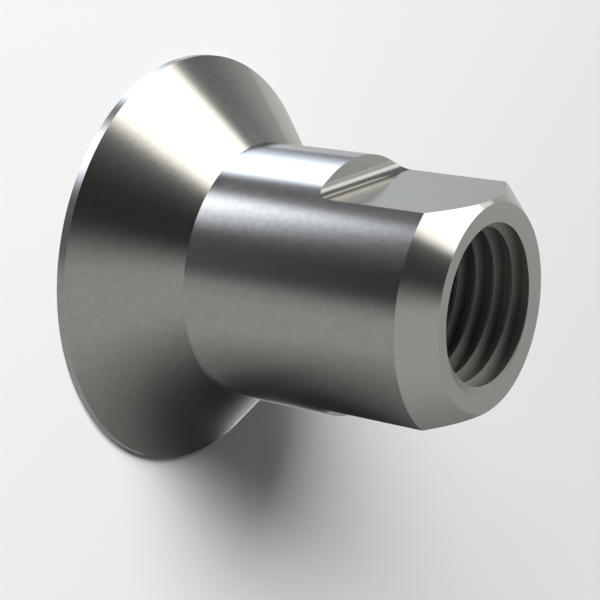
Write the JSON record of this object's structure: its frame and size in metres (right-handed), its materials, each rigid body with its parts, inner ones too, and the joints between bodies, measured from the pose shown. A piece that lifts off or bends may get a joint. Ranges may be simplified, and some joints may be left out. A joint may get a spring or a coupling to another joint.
{
  "type": "threaded sleeve",
  "caption": "Turned steel sleeve that seats in a countersunk hole by its conical head and takes a screw in its threaded bore, with opposite wrench flats on its shank.",
  "frame": {"origin": "centre of the head's flat face, on the sleeve's axis", "axes": "+Z along the axis from the head's flat face to the threaded mouth; +Y and -Y are the outward normals of the two wrench flats"},
  "size_m": [0.073, 0.073, 0.0615],
  "materials": {
    "turned_steel": "fine turned finish, satin to bright"
  },
  "bodies": {
    "root": {"threaded_sleeve": "turned_steel"}
  },
  "joints": []
}
